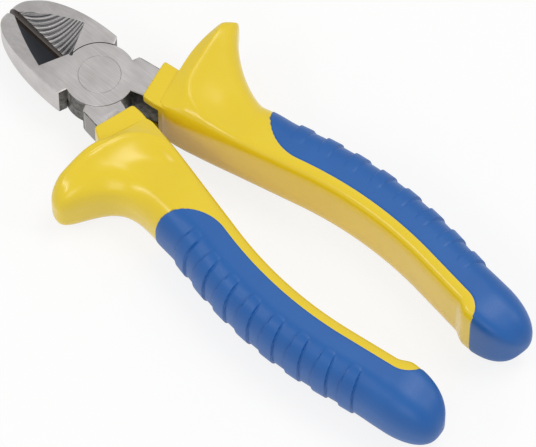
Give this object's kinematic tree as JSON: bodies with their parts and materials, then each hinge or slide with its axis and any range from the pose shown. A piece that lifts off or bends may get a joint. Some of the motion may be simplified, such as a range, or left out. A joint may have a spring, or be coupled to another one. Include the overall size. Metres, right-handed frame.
{
  "type": "diagonal cutter",
  "caption": "Diagonal cutting pliers with bevelled jaws, a flush riveted lap joint and guarded soft-grip handles, for snipping wire.",
  "frame": {"origin": "on the pivot axis, at the back face of the lap joint", "axes": "+X to the jaw tips, +Z along the rivet to the face with the bevelled pocket, +Y to the handle of the back half"},
  "size_m": [0.1633, 0.0676, 0.0199],
  "materials": {
    "ground_steel": "satin, fine grinding lines",
    "rivet_steel": "satin, ground flush with the joint",
    "yellow_hard_plastic": "gloss",
    "blue_soft_plastic": "satin"
  },
  "bodies": {
    "front_half": {"front_forging": "ground_steel", "pivot_rivet": "rivet_steel", "far_grip_core": "yellow_hard_plastic", "far_grip_cover": "blue_soft_plastic"},
    "back_half": {"back_forging": "ground_steel", "near_grip_core": "yellow_hard_plastic", "near_grip_cover": "blue_soft_plastic"}
  },
  "joints": [
    {"name": "jaw_pivot", "type": "hinge", "parent": "front_half", "child": "back_half", "pos_m": [0, 0, 0.00475], "axis": [0, 0, -1], "range_deg": [-2.4, 38]}
  ]
}
